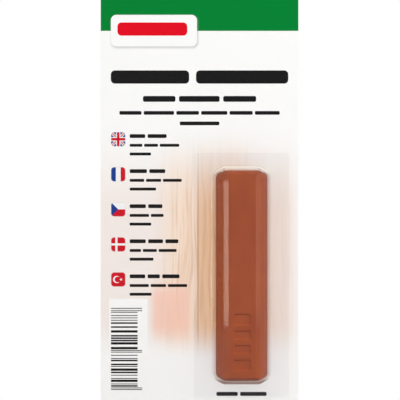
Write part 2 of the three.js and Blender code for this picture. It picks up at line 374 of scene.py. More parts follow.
class StageSettings(bpy.types.PropertyGroup):
    """Camera, floor and lights."""

    view_x: length("View middle", "Point that the camera looks at", 0.17 * MM)
    view_z: length("View height", "Height of the point that the camera looks at", -90.55 * MM)
    view_distance: length("View distance", "From the camera to the card's front", 620 * MM)
    view_width: length("View width", "Width that the frame shows at the card", 151.74 * MM)
    sensor: factor("Sensor", "Width of the camera's sensor in millimetres", 36)
    floor_radius: length("Floor radius", "Radius of the pale floor", 0.9)
    floor: colour("Floor", "Colour of the pale floor", (0.86, 0.86, 0.86))
    bounce: colour("Floor bounce", "Colour of the floor for the light that it throws up", (0.5, 0.5, 0.5))
    ambient: factor("Ambient", "Strength of the surrounding light", 0.405)


class WaxStickSettings(bpy.types.PropertyGroup):
    """All settings of the carded wax stick."""

    card: bpy.props.PointerProperty(type=CardSettings)
    picture: bpy.props.PointerProperty(type=PictureSettings)
    print: bpy.props.PointerProperty(type=PrintSettings)
    bar: bpy.props.PointerProperty(type=BarSettings)
    film: bpy.props.PointerProperty(type=FilmSettings)
    spatula: bpy.props.PointerProperty(type=SpatulaSettings)
    stage: bpy.props.PointerProperty(type=StageSettings)


class Value:
    """An output in a node tree. Arithmetic on it adds Math nodes to the tree."""

    def __init__(self, tree, output):
        self.tree = tree
        self.output = output

    def other(self, name):
        """Another output of the same node."""
        return Value(self.tree, self.output.node.outputs[name])

    def math(self, operation, *others):
        """A Math node on this value and others."""
        return self.tree.node("ShaderNodeMath", {"operation": operation}, dict(enumerate((self, *others))))

    def reflected(self, operation, first):
        """A Math node in which a plain number comes before this value."""
        return self.tree.node("ShaderNodeMath", {"operation": operation}, {0: first, 1: self})

    def __add__(self, other):
        return self.math("ADD", other)

    def __radd__(self, other):
        return self.reflected("ADD", other)

    def __sub__(self, other):
        return self.math("SUBTRACT", other)

    def __rsub__(self, other):
        return self.reflected("SUBTRACT", other)

    def __mul__(self, other):
        return self.math("MULTIPLY", other)

    def __rmul__(self, other):
        return self.reflected("MULTIPLY", other)

    def __truediv__(self, other):
        return self.math("DIVIDE", other)

    def __rtruediv__(self, other):
        return self.reflected("DIVIDE", other)

    def __lt__(self, other):
        return self.math("LESS_THAN", other)

    def __gt__(self, other):
        return self.math("GREATER_THAN", other)

    def __abs__(self):
        return self.math("ABSOLUTE")


class Tree:
    """A node tree that grows by nodes with their settings and inputs."""

    def __init__(self, tree):
        self.tree = tree

    def node(self, kind, settings=None, inputs=None, output=0):
        """Adds a node, with its settings set first, and gives one of its outputs."""
        node = self.tree.nodes.new(kind)
        for name, setting in (settings or {}).items():
            setattr(node, name, setting)
        for key, value in (inputs or {}).items():
            self.feed(node.inputs[key], value)
        if not node.outputs:
            return None
        return Value(self, node.outputs[output])

    def feed(self, socket, value):
        """Links or sets an input, or links several values to one input."""
        if isinstance(value, Value):
            self.tree.links.new(value.output, socket)
        elif isinstance(value, list):
            for each in value:
                self.tree.links.new(each.output, socket)
        elif socket.type == "RGBA":
            socket.default_value = (*value[:3], 1)
        else:
            socket.default_value = value

    def axes(self, vector):
        """The three parts of a vector."""
        first = self.node("ShaderNodeSeparateXYZ", None, {0: vector})
        return first, first.other("Y"), first.other("Z")

    def vector(self, x, y, z):
        """A vector from its three parts."""
        return self.node("ShaderNodeCombineXYZ", None, {0: x, 1: y, 2: z})

    def step(self, value, start, end):
        """0 up to start and 1 from end on, with a smooth change between them."""
        inputs = {"Value": value, "From Min": start, "From Max": end}
        return self.node("ShaderNodeMapRange", {"interpolation_type": "SMOOTHSTEP"}, inputs)

    def blend(self, share, first, second):
        """A colour that goes from the first to the second."""
        return self.node("ShaderNodeMix", {"data_type": "RGBA"}, {0: share, 6: first, 7: second}, 2)

    def stretched(self, place, width, depth, height):
        """A place measured in spots of the given width, depth and height."""
        scale = (1 / width, 1 / depth, 1 / height)
        return self.node("ShaderNodeMapping", None, {"Vector": place, "Scale": scale})

    def noise(self, place, detail=2.0, roughness=0.5):
        """Cloudy noise, one spot to each unit of the place."""
        inputs = {"Vector": place, "Scale": 1.0, "Detail": detail, "Roughness": roughness}
        return self.node("ShaderNodeTexNoise", None, inputs)

    def spots(self, place, size, detail=2.0):
        """Cloudy noise with spots of one size in all directions."""
        return self.noise(self.stretched(place, size, size, size), detail)

    def bump(self, height, depth, below=None):
        """A normal that follows a height from 0 to 1, as deep as given."""
        inputs = {"Strength": 1.0, "Distance": depth, "Height": height}
        if below is not None:
            inputs["Normal"] = below
        return self.node("ShaderNodeBump", None, inputs)


def new_material(name):
    """An empty material and its tree."""
    material = bpy.data.materials.new(name)
    material.use_nodes = True
    material.node_tree.nodes.clear()
    return material, Tree(material.node_tree)


def finish_surface(tree, base, rough, normal, constants=None):
    """Ends a material in one Principled shader, with constants on the shader's own sockets."""
    inputs = {"Base Color": base, "Roughness": rough, "Normal": normal, **(constants or {})}
    shader = tree.node("ShaderNodeBsdfPrincipled", None, inputs)
    tree.node("ShaderNodeOutputMaterial", None, {"Surface": shader})


def object_place(tree):
    """The place on the piece, in metres."""
    return tree.node("ShaderNodeTexCoord", None, None, "Object")


def rounded_box_distance(across, up, width, height, radius):
    """How far a place lies outside a rectangle with round corners, centred on zero."""
    side = (abs(across) - (width / 2 - radius)).math("MAXIMUM", 0.0)
    rise = (abs(up) - (height / 2 - radius)).math("MAXIMUM", 0.0)
    return (side * side + rise * rise).math("SQRT") - radius


def picture_colour(tree, picture, white, place):
    """The faded picture of upright boards, with a white field for the code stripes."""
    x, _, z = tree.axes(place)
    board = ((x - picture.first_seam) / picture.board_width).math("FLOOR")
    tone = tree.node("ShaderNodeTexWhiteNoise", {"noise_dimensions": "1D"}, {"W": board})
    across = (x - picture.first_seam) / picture.board_width - board
    sway = tree.noise(tree.vector(board * SWAY_SHIFT, x / SWAY_WIDTH, z / SWAY_HEIGHT), 1.0)
    lines = tree.vector(x / LINE_WIDTH + sway * 5.0, board * LINE_SHIFT, z / LINE_HEIGHT)
    streaks = tree.vector(x / STREAK_WIDTH + sway * 2.0, board * STREAK_SHIFT, z / STREAK_HEIGHT)
    broad = tree.noise(streaks, 1.0)
    fine = tree.step(tree.noise(lines, 2.0, 0.6), 0.42, 0.68)
    seam = 1 - tree.step(across.math("MINIMUM", 1 - across), 0.006, 0.022)
    lit = tree.step(x, *BOARDS_LEFT) * (1 - 0.62 * tree.step(x, *BOARDS_RIGHT))
    span = tree.step(z, picture.top, picture.top - TOP_FADE)
    span = span * tree.step(z, picture.bottom, picture.bottom + BOTTOM_FADE)
    edge = tree.step(x, CARD_HIGH.x, CARD_HIGH.x - SIDE_FADE)
    shown = tree.blend(span * (1 - 0.75 * tree.step(x, *WASH_RIGHT)), white, picture.wash)
    richer = tree.step(x, picture.first_seam, picture.first_seam + 0.4 * MM)
    wood = tree.blend(0.2 + 0.35 * broad + 0.25 * tone + 0.25 * richer, (1, 0.93, 0.86), picture.wood)
    wood = tree.blend(fine * 0.4, wood, picture.grain)
    wood = tree.blend(seam * 0.8, wood, picture.grain)
    shown = tree.blend(lit * span * edge, shown, wood)
    rosy = tree.step(z, *BLUSH_TOP) * tree.step(z, *BLUSH_BOTTOM)
    rosy = rosy * tree.step(x, *BLUSH_LEFT) * tree.step(x, *BLUSH_RIGHT)
    shown = tree.blend(rosy * 0.75, shown, picture.blush)
    code = tree.step(x, *CODE_FIELD_RIGHT) * tree.step(z, *CODE_FIELD_TOP)
    code = code * tree.step(x, *CODE_FIELD_LEFT)
    return tree.blend(code, shown, white)


def header_colour(tree, card, below, white, place):
    """The solid band, the white plaque and the plaque's soft shadow over what lies below."""
    x, _, z = tree.axes(place)
    banded = tree.step(z, card.band_bottom - PRINT_EDGE, card.band_bottom + PRINT_EDGE)
    shown = tree.blend(banded, below, card.band)
    across = x - card.plaque_x
    up = z - card.plaque_z
    size = (card.plaque_width, card.plaque_height, card.plaque_radius)
    shadow = rounded_box_distance(across - SHADOW_RIGHT, up + SHADOW_DOWN, *size)
    shown = tree.blend(0.45 * tree.step(shadow, *SHADOW_FADE), shown, SHADOW_TONE)
    plaque = rounded_box_distance(across, up, *size)
    return tree.blend(tree.step(plaque, PRINT_EDGE, -PRINT_EDGE), shown, white)


def board_material(card, picture):
    """Coated and printed board, with a fibrous core and an uncoated back."""
    material, tree = new_material("printed_board")
    place = object_place(tree)
    _, depth, _ = tree.axes(place)
    front = tree.step(depth, *(CARD_FRONT + under for under in COAT))
    back = tree.step(depth, *(-under for under in COAT))
    mottle = tree.spots(place, 7 * MM, 3.0)
    white = tree.blend(mottle * 0.5, card.white, darker(card.white, 0.965))
    printed = picture_colour(tree, picture, white, place)
    printed = header_colour(tree, card, printed, white, place)
    fibres = tree.noise(tree.stretched(place, 1.1 * MM, 1.1 * MM, 0.28 * MM), 3.0, 0.7)
    flecks = tree.step(tree.spots(place, 0.45 * MM, 2.0), 0.62, 0.72)
    layers = tree.noise(tree.stretched(place, 0.7 * MM, 0.09 * MM, 0.7 * MM), 2.0)
    core = tree.blend(layers, darker(card.core, 0.72), card.core)
    rear = tree.blend(fibres, darker(card.back, 0.8), card.back)
    rear = tree.blend(flecks * 0.35, rear, darker(card.back, 0.62))
    rear = tree.blend(0.5 * tree.step(mottle, 0.35, 0.65), rear, darker(card.back, 0.86))
    base = tree.blend(back, core, rear)
    base = tree.blend(front, base, printed)
    sheen = 0.34 + 0.1 * mottle
    rough = sheen * front + (0.82 + 0.1 * fibres) * (1 - front)
    skin = tree.spots(place, 0.9 * MM, 2.0)
    height = skin * front * 0.15 + (fibres * 0.6 + layers * 0.4) * (1 - front)
    normal = tree.bump(height, 0.03 * MM)
    finish_surface(tree, base, rough, normal, {"Specular IOR Level": BOARD_SPECULAR})
    return material


def ink_material(name, ink):
    """Printed ink that lies on the coated board."""
    material, tree = new_material(name)
    place = object_place(tree)
    cloud = tree.spots(place, 2.2 * MM, 3.0)
    grain = tree.spots(place, 0.25 * MM, 1.0)
    worn = tuple(level + 0.012 for level in ink)
    base = tree.blend(tree.step(grain, 0.45, 0.75) * 0.6, ink, worn)
    normal = tree.bump(grain, 0.004 * MM)
    rough = 0.3 + 0.16 * cloud
    finish_surface(tree, base, rough, normal, {"Specular IOR Level": INK_SPECULAR})
    return material


def star(across, up, reach):
    """1 inside a five-pointed star of the given reach, centred on zero, with one point to the left."""
    point_turn = 2 * math.pi / STAR_POINTS
    waist = reach * STAR_WAIST
    turn = up.math("ARCTAN2", -1 * across)
    folded = abs((turn + 2 * math.pi + point_turn / 2).math("MODULO", point_turn) - point_turn / 2)
    far = (across * across + up * up).math("SQRT")
    along = far * folded.math("COSINE")
    aside = far * folded.math("SINE")
    waist_x = waist * math.cos(point_turn / 2)
    waist_y = waist * math.sin(point_turn / 2)
    inside = (reach - along) * waist_y - aside * (reach - waist_x)
    return inside > 0.0


def flag_material(sheet):
    """Five square flags, told apart by their height on the card."""
    material, tree = new_material("flag_inks")
    place = object_place(tree)
    x, _, z = tree.axes(place)
    half = sheet.flag_size / 2
    down = (sheet.flag_z - z) / sheet.row_pitch
    which = (down + 0.5).math("FLOOR")
    across = (x - sheet.flag_x) / half
    up = (which - down) * (sheet.row_pitch / half)
    red = sheet.flag_red
    blue = sheet.flag_blue
    white = sheet.flag_white
    cross = abs(across).math("MINIMUM", abs(up))
    slant = (abs(across) - abs(up)).math("ABSOLUTE")
    union = tree.blend(slant < SALTIRE_EDGE, blue, white)
    union = tree.blend(slant < SALTIRE_CORE, union, red)
    union = tree.blend(cross < CROSS_EDGE, union, white)
    union = tree.blend(cross < CROSS_CORE, union, red)
    upright = tree.blend(across < STRIPE_EDGE, red, white)
    upright = tree.blend(across < -STRIPE_EDGE, upright, blue)
    wedge = tree.blend(up > 0.0, red, white)
    wedge = tree.blend(across + abs(up) < 0.0, wedge, blue)
    offset_cross = abs(across + OFFSET_CROSS_LEFT).math("MINIMUM", abs(up))
    crossed = tree.blend(offset_cross < OFFSET_CROSS_HALF, red, white)
    from_outer = across + MOON_OUTER_LEFT
    from_inner = across + MOON_INNER_LEFT
    outer = (from_outer * from_outer + up * up).math("SQRT")
    inner = (from_inner * from_inner + up * up).math("SQRT")
    moon = (outer < MOON_OUTER) * (inner > MOON_INNER)
    moon = moon.math("MAXIMUM", star(across - STAR_RIGHT, up, STAR_REACH))
    crescent = tree.blend(moon, red, white)
    shown = union
    for place_in_column, flag in enumerate((upright, wedge, crossed, crescent), start=1):
        shown = tree.blend(which > place_in_column - 0.5, shown, flag)
    size = (sheet.flag_size, sheet.flag_size, sheet.flag_radius)
    to_edge = rounded_box_distance(across * half, up * half, *size)
    shown = tree.blend(0.3 * tree.step(to_edge, *FLAG_RIM), shown, FLAG_RIM_TONE)
    grain = tree.spots(place, 0.3 * MM, 1.0)
    rough = 0.26 + 0.12 * tree.spots(place, 2 * MM)
    normal = tree.bump(grain, 0.004 * MM)
    finish_surface(tree, shown, rough, normal, {"Specular IOR Level": INK_SPECULAR})
    return material


def film_material(film):
    """Clear formed film: dim where it is steep, mirroring at its upper end, with pale haze there as a
    painted highlight and painted shade at its lower end.
    """
    material, tree = new_material("clear_film")
    place = object_place(tree)
    _, depth, height = tree.axes(place)
    _, _, facing_up = tree.axes(tree.node("ShaderNodeTexCoord", None, None, "Normal"))
    waves = tree.spots(place, 11 * MM, 1.0)
    streaks = tree.noise(tree.stretched(place, 0.5 * MM, 0.5 * MM, 5 * MM), 3.0, 0.65)
    scuffs = tree.step(streaks, 0.55, 0.8)
    normal = tree.bump(waves, 0.006 * MM)
    rough = 0.03 + 0.02 * waves + 0.03 * scuffs
    outside = 1 - tree.node("ShaderNodeNewGeometry", None, None, "Backfacing")
    up = CARD_FRONT - depth
    foot = film.seal_gap + film.thickness
    raised = tree.step(up, *(foot + above for above in BEND_START))
    bend = raised * tree.step(up, *(foot + above for above in BEND_END)) * outside
    upward = tree.step(facing_up, *FACING_UP)
    downward = tree.step(facing_up, *FACING_DOWN)
    grazing = tree.node("ShaderNodeLayerWeight", None, {"Blend": 0.5}, "Facing")
    upper_end = height > (BAR_LOW.z + BAR_HIGH.z) / 2
    painted_shade_zone = tree.step(height, *(BAR_LOW.z + above for above in PAINTED_SHADE_HEIGHTS))
    end_wall = raised * tree.step(abs(facing_up), *FACING_AN_END) * outside
    # Painted highlight: pale haze on the upward-facing bend of the upper end only
    upper = PAINTED_HIGHLIGHT_STRENGTH * bend * upward * upper_end
    # Painted shade: the bend and end wall at the bar's lower end let less through
    lower = (bend * downward).math("MAXIMUM", PAINTED_SHADE_STRENGTH * end_wall) * painted_shade_zone
    cubed = grazing * grazing * grazing
    fold = tree.node("ShaderNodeAttribute", {"attribute_name": "fold"}, None, "Fac") * raised
    edge = fold * (0.2 + 0.8 * grazing)
    sharp = cubed * grazing * grazing
    strength = SIDE_MIRROR + END_MIRROR * end_wall * upper_end
    mirrored = LEAST_MIRROR + strength * sharp + FOLD_MIRROR * edge
    mirrored = mirrored * (1 - BEND_DULLNESS * bend) * outside
    clear = tree.node("ShaderNodeBsdfTransparent", None, {"Color": film.tint})
    dim = tree.node("ShaderNodeBsdfTransparent", None, {"Color": film.steep_tint})
    steep = (cubed * grazing * (1 - upward)).math("MAXIMUM", edge * (0.4 + 0.4 * upward))
    through = tree.node("ShaderNodeMixShader", None, {0: steep, 1: clear, 2: dim})
    painted_highlight_haze = tree.node("ShaderNodeBsdfDiffuse", None, {"Color": film.painted_highlight_haze})
    shade = tree.node("ShaderNodeBsdfTransparent", None, {"Color": film.shade})
    # The haze mixed in here is a painted highlight, and the shade after it is painted shade
    through = tree.node("ShaderNodeMixShader", None, {0: upper, 1: through, 2: painted_highlight_haze})
    through = tree.node("ShaderNodeMixShader", None, {0: lower, 1: through, 2: shade})
    shine = {"Color": (1, 1, 1), "Roughness": rough, "Normal": normal}
    gloss = tree.node("ShaderNodeBsdfGlossy", None, shine)
    shader = tree.node("ShaderNodeMixShader", None, {0: mirrored, 1: through, 2: gloss})
    tree.node("ShaderNodeOutputMaterial", None, {"Surface": shader})
    return material


def wax_material(bar):
    """Moulded hard wax: cloudy tone, a little bloom and a soft sheen."""
    material, tree = new_material("filler_wax")
    place = object_place(tree)
    cloud = tree.spots(place, 9 * MM, 3.0)
    flow = tree.noise(tree.stretched(place, 3 * MM, 3 * MM, 16 * MM), 3.0, 0.6)
    specks = tree.spots(place, 0.35 * MM, 2.0)
    base = tree.blend(tree.step(cloud * 0.5 + flow * 0.5, 0.3, 0.7), bar.wax_deep, bar.wax)
    base = tree.blend(tree.step(specks, 0.6, 0.74) * 0.2, base, bar.wax_bloom)
    base = tree.blend(tree.step(specks, 0.34, 0.26) * 0.2, base, darker(bar.wax_deep, 0.7))
    rough = 0.4 + 0.14 * flow + 0.1 * specks
    normal = tree.bump(tree.spots(place, 4 * MM, 2.0), 0.025 * MM)
    normal = tree.bump(specks, 0.004 * MM, normal)
    constants = {
        "Subsurface Weight": 0.12,
        "Subsurface Radius": (1.0, 0.4, 0.25),
        "Subsurface Scale": 1.2 * MM,
        "Specular IOR Level": WAX_SPECULAR,
    }
    finish_surface(tree, base, rough, normal, constants)
    return material


def plastic_material(spatula):
    """Moulded coloured plastic with a fine satin skin."""
    material, tree = new_material("spatula_plastic")
    place = object_place(tree)
    flow = tree.noise(tree.stretched(place, 4 * MM, 4 * MM, 22 * MM), 2.0)
    skin = tree.spots(place, 0.22 * MM, 2.0)
    scratches = tree.step(tree.noise(tree.stretched(place, 0.3 * MM, 0.3 * MM, 9 * MM), 2.0), 0.62, 0.75)
    base = tree.blend(flow, darker(spatula.plastic, 0.8), spatula.plastic)
    rough = 0.24 + 0.1 * skin + 0.14 * scratches
    normal = tree.bump(skin * 0.7 + scratches * 0.3, 0.008 * MM)
    finish_surface(tree, base, rough, normal)
    return material


def link_object(name, mesh):
    """A new object at the origin that shows a mesh."""
    piece = bpy.data.objects.new(name, mesh)
    bpy.context.scene.collection.objects.link(piece)
    return piece


def mesh_piece(name, shape, material):
    """Turns a bmesh into a smooth piece, with flat faces kept flat by weighted normals."""
    bmesh.ops.remove_doubles(shape, verts=shape.verts, dist=MERGE_DISTANCE)
    bmesh.ops.recalc_face_normals(shape, faces=shape.faces)
    mesh = bpy.data.meshes.new(name)
    shape.to_mesh(mesh)
    shape.free()
    mesh.shade_smooth()
    mesh.materials.append(material)
    piece = link_object(name, mesh)
    weighted = piece.modifiers.new("Weighted normals", "WEIGHTED_NORMAL")
    weighted.mode = "FACE_AREA"
    weighted.weight = NORMAL_WEIGHT
    return piece


def evaluated_mesh(source):
    """A plain mesh of what an object shows with its modifiers."""
    depsgraph = bpy.context.evaluated_depsgraph_get()
    return bpy.data.meshes.new_from_object(source.evaluated_get(depsgraph))


def arc(x, z, radius, start, end, steps):
    """Points of a round stretch, ends included, with angles in degrees."""
    points = []
    for step in range(steps + 1):
        turn = math.radians(start + (end - start) * step / steps)
        points.append(Vector((x + radius * math.cos(turn), z + radius * math.sin(turn))))
    return points


def rounded_rectangle(width, height, radius, steps):
    """A rectangle with round corners, centred on zero."""
    right = width / 2 - radius
    top = height / 2 - radius
    points = arc(right, top, radius, 0, 90, steps)
    points += arc(-right, top, radius, 90, 180, steps)
    points += arc(-right, -top, radius, 180, 270, steps)
    points += arc(right, -top, radius, 270, 360, steps)
    return points


def slot_outline(card, grow):
    """The peg slot, grown on all sides by a little: wings below and a round hump above."""
    wing = card.wing_height / 2
    wing_x = card.slot_width / 2 - wing
    wing_z = wing - card.slot_height
    hump = card.hump_radius + grow
    foot = math.degrees(math.asin((card.hump_radius - card.slot_height + card.wing_height + grow) / hump))
    points = arc(wing_x, wing_z, wing + grow, -90, 90, SLOT_STEPS)
    points += arc(0, -card.hump_radius, hump, foot, 180 - foot, 2 * SLOT_STEPS)
    points += arc(-wing_x, wing_z, wing + grow, 90, 270, SLOT_STEPS)
    return points


def card_mesh(card):
    """The board with its slot, cut from a flat curve with softly rounded edges."""
    soft = card.edge_softness
    width = CARD_HIGH.x - CARD_LOW.x - 2 * soft
    height = CARD_HIGH.z - CARD_LOW.z - 2 * soft
    thickness = CARD_HIGH.y - CARD_LOW.y
    middle = Vector((0, (CARD_HIGH.z + CARD_LOW.z) / 2))
    sheet = rounded_rectangle(width, height, card.corner_radius - soft, CARD_STEPS)
    outline = [point + middle for point in sheet]
    curve = bpy.data.curves.new("card_outline", "CURVE")
    curve.dimensions = "2D"
    curve.fill_mode = "BOTH"
    curve.extrude = thickness / 2 - soft
    curve.bevel_depth = soft
    curve.bevel_resolution = 1
    for points in (outline, slot_outline(card, soft)):
        spline = curve.splines.new("POLY")
        spline.points.add(len(points) - 1)
        for spot, point in zip(spline.points, points):
            spot.co = (point.x, point.y, 0, 1)
        spline.use_cyclic_u = True
    source = link_object("card_outline", curve)
    mesh = evaluated_mesh(source)
    bpy.data.objects.remove(source)
    mesh.transform(Matrix.Translation((0, -thickness / 2, 0)) @ Matrix.Rotation(math.pi / 2, 4, "X"))
    return mesh


def build_card(settings):
    """The printed card, in place of its CAD node."""
    shape = bmesh.new()
    shape.from_mesh(card_mesh(settings.card))
    card = mesh_piece("printed_card", shape, board_material(settings.card, settings.picture))
    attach(card, "card")
    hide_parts("backing_card")


def new_group(name, inputs):
    """A geometry node group with named inputs, and the values of those inputs by name."""
    group = bpy.data.node_groups.new(name, "GeometryNodeTree")
    for label, kind in inputs.items():
        group.interface.new_socket(name=label, in_out="INPUT", socket_type=kind)
    group.interface.new_socket(name="Geometry", in_out="OUTPUT", socket_type="NodeSocketGeometry")
    tree = Tree(group)
    first = tree.node("NodeGroupInput")
    return group, tree, {label: first.other(label) for label in inputs}


def finish_group(tree, instances, sizes):
    """Turns flat closed curves into closed sheets of ink on the card's front, at their place."""
    curves = tree.node("GeometryNodeRealizeInstances", None, {0: instances})
    round_curves = tree.node(
        "GeometryNodeFilletCurve",
        {"mode": "POLY"},
        {"Curve": curves, "Count": FILLET_STEPS, "Radius": sizes["Corner radius"], "Limit Radius": True},
    )
    under = tree.node("GeometryNodeFillCurve", {"mode": "NGONS"}, {"Curve": round_curves})
    raised = tree.node(
        "GeometryNodeExtrudeMesh",
        {"mode": "FACES"},
        {"Mesh": under, "Offset": (0, 0, 1), "Offset Scale": sizes["Thickness"], "Individual": False},
    )
    lower = tree.node("GeometryNodeFlipFaces", None, {0: under})
    closed = tree.node("GeometryNodeJoinGeometry", None, {0: [raised, lower]})
    closed = tree.node("GeometryNodeMergeByDistance", None, {"Geometry": closed, "Distance": MERGE_DISTANCE})
    upright = {"Geometry": closed, "Translation": sizes["Place"], "Rotation": (math.pi / 2, 0, 0)}
    placed = tree.node("GeometryNodeTransform", None, upright)
    realized = tree.node("GeometryNodeRealizeInstances", None, {0: placed})
    inked = {"Geometry": realized, "Material": sizes["Material"]}
    painted = tree.node("GeometryNodeSetMaterial", None, inked)
    tree.node("NodeGroupOutput", None, {"Geometry": painted})


SHEET_INPUTS = {
    "Corner radius": "NodeSocketFloat",
    "Thickness": "NodeSocketFloat",
    "Place": "NodeSocketVector",
    "Material": "NodeSocketMaterial",
}


def random_between(tree, low, high, identity, seed, whole=False):
    """A random number for each identity, from a fixed seed."""
    # The sockets for whole numbers come after those for other numbers
    settings = {"data_type": "INT" if whole else "FLOAT"}
    first = 4 if whole else 2
    inputs = {first: low, first + 1: high, "ID": identity, "Seed": seed}
    return tree.node("FunctionNodeRandomValue", settings, inputs, 2 if whole else 1)


def scaled_bars(tree, count, spot, scale, kept=True):
    """Squares on points, each at its own spot and with its own scale."""
    points = tree.node("GeometryNodePoints", None, {"Count": count})
    points = tree.node("GeometryNodeSetPosition", None, {"Geometry": points, "Position": spot})
    square = tree.node("GeometryNodeCurvePrimitiveQuadrilateral", None, {"Width": 1.0, "Height": 1.0})
    bars = {"Points": points, "Selection": kept, "Instance": square, "Scale": scale}
    return tree.node("GeometryNodeInstanceOnPoints", None, bars)


def row_group():
    """Rows of round-ended bars of random lengths, spaced as words are."""
    inputs = {
        "Rows": "NodeSocketInt",
        "Most words": "NodeSocketInt",
        "Fewest words": "NodeSocketInt",
        "Row pitch": "NodeSocketFloat",
        "Bar height": "NodeSocketFloat",
        "Shortest": "NodeSocketFloat",
        "Longest": "NodeSocketFloat",
        "Word gap": "NodeSocketFloat",
        "Centred": "NodeSocketFloat",
        "Seed": "NodeSocketInt",
        **SHEET_INPUTS,
    }
    group, tree, sizes = new_group("printed_rows", inputs)
    index = tree.node("GeometryNodeInputIndex")
    row = (index / sizes["Most words"]).math("FLOOR")
    word = index - row * sizes["Most words"]
    count = random_between(tree, sizes["Fewest words"], sizes["Most words"], row, sizes["Seed"], True)
    kept = word < count
    width = random_between(tree, sizes["Shortest"], sizes["Longest"], index, sizes["Seed"] + 1) * kept
    stride = (width + sizes["Word gap"]) * kept
    before = tree.node("GeometryNodeAccumulateField", None, {"Value": stride, "Group ID": row}, "Trailing")
    whole = before.other("Total") - sizes["Word gap"]
    across = before + width / 2 - sizes["Centred"] * whole / 2
    spot = tree.vector(across, -1 * row * sizes["Row pitch"], 0.0)
    scale = tree.vector(width, sizes["Bar height"], 1.0)
    bars = scaled_bars(tree, sizes["Rows"] * sizes["Most words"], spot, scale, kept)
    finish_group(tree, bars, sizes)
    return group


def stripe_group():
    """A block of level stripes of random widths, with longer pairs at the ends and in the middle."""
    inputs = {
        "Stripes": "NodeSocketInt",
        "Widest": "NodeSocketInt",
        "Stripe length": "NodeSocketFloat",
        "Guard length": "NodeSocketFloat",
        "Block height": "NodeSocketFloat",
        "Seed": "NodeSocketInt",
        **SHEET_INPUTS,
    }
    group, tree, sizes = new_group("code_stripes", inputs)
    index = tree.node("GeometryNodeInputIndex")
    from_end = index.math("MINIMUM", sizes["Stripes"] - 1 - index)
    from_middle = abs(index - (sizes["Stripes"] - 1) / 2)
    # The two stripes at each end and the two in the middle are guards
    guard = (from_end < 1.5).math("MAXIMUM", from_middle < 1.0)
    inked = random_between(tree, 1, sizes["Widest"], index, sizes["Seed"], True)
    inked = inked * (1 - guard) + guard
    bare = random_between(tree, 1, sizes["Widest"], index, sizes["Seed"] + 1, True)
    before = tree.node("GeometryNodeAccumulateField", None, {"Value": inked + bare}, "Trailing")
    module = sizes["Block height"] / before.other("Total")
    reach = sizes["Stripe length"] + guard * sizes["Guard length"]
    spot = tree.vector(reach / 2, -1 * (before + inked / 2) * module, 0.0)
    scale = tree.vector(reach, inked * module, 1.0)
    finish_group(tree, scaled_bars(tree, sizes["Stripes"], spot, scale), sizes)
    return group


def patch_group():
    """A column of square patches with round corners."""
    inputs = {
        "Patches": "NodeSocketInt",
        "Side": "NodeSocketFloat",
        "Pitch": "NodeSocketFloat",
        **SHEET_INPUTS,
    }
    group, tree, sizes = new_group("flag_patches", inputs)
    down = tree.vector(0.0, -1 * sizes["Pitch"], 0.0)
    column = tree.node("GeometryNodeMeshLine", None, {"Count": sizes["Patches"], "Offset": down})
    square = {"Width": sizes["Side"], "Height": sizes["Side"]}
    patch = tree.node("GeometryNodeCurvePrimitiveQuadrilateral", None, square)
    patches = tree.node("GeometryNodeInstanceOnPoints", None, {"Points": column, "Instance": patch})
    finish_group(tree, patches, sizes)
    return group


def ink_piece(name, group, values):
    """Runs a node group with its values and keeps the result as a plain mesh on the card."""
    piece = link_object(name, bpy.data.meshes.new(name))
    nodes = piece.modifiers.new("Print", "NODES")
    nodes.node_group = group
    for item in group.interface.items_tree:
        if item.in_out == "INPUT":
            nodes[item.identifier] = values[item.name]
    mesh = evaluated_mesh(piece)
    piece.modifiers.remove(nodes)
    piece.data = mesh
    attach(piece, "card")


def build_rows(settings):
    """The printed rows: plaque, heading, claims and the lines beside the flags."""
    sheet = settings.print
    group = row_group()
    dark = ink_material("dark_ink", sheet.ink)
    red = ink_material("red_ink", sheet.accent)
    plaque = (settings.card.plaque_x - PLAQUE_BAR_SHIFT, settings.card.plaque_z + PLAQUE_BAR_SHIFT)
    left = sheet.left
    top = sheet.first_row
    middle = (SHELL_LOW.x + SHELL_HIGH.x) / 2
    beside = {"Rows": sheet.flag_count, "Centred": 0.0}
    second = {**beside, "Seed": sheet.seed + 3}
    # Each piece's place, bar height, shortest and longest bar, fewest and most words, and other changes
    table = {
        "plaque_bar": (plaque, 5 * MM, (26.5 * MM, 26.5 * MM), (1, 1), {"Material": red}),
        "heading_rows": ((0, -43.9 * MM), 5 * MM, (24 * MM, 35 * MM), (2, 2), {"Word gap": 2.6 * MM}),
        "subheading_rows": ((0, -52.2 * MM), 2.2 * MM, (9 * MM, 15.4 * MM), (3, 3), {}),
        "claim_rows": ((0, -57.5 * MM), 1.4 * MM, (5 * MM, 11.5 * MM), (6, 6), {}),
        "claim_end_row": ((0, -61.5 * MM), 1.4 * MM, (15 * MM, 15 * MM), (1, 1), {}),
        "bold_rows": ((left, top), 1.45 * MM, (4.5 * MM, 7.2 * MM), (1, 3), beside),
        "second_rows": ((left, top - 3.5 * MM), 1.1 * MM, (4 * MM, 7.4 * MM), (2, 3), second),
        "third_rows": ((left, top - 6.8 * MM), 1.1 * MM, (6 * MM, 10 * MM), (1, 1), beside),
        "lower_row": ((middle, -164.1 * MM), 1.5 * MM, (6 * MM, 10 * MM), (2, 2), {}),
    }
    for name, (place, height, lengths, words, changes) in table.items():
        values = {
            "Rows": 1,
            "Most words": words[1],
            "Fewest words": words[0],
            "Row pitch": sheet.row_pitch,
            "Bar height": height,
            "Shortest": lengths[0],
            "Longest": lengths[1],
            "Word gap": WORD_GAP * height,
            "Centred": 1.0,
            "Seed": sheet.seed,
            "Corner radius": ROW_ROUNDING * height,
            "Thickness": sheet.thickness,
            "Place": (place[0], CARD_FRONT, place[1]),
            "Material": dark,
        }
        values.update(changes)
        ink_piece(name, group, values)


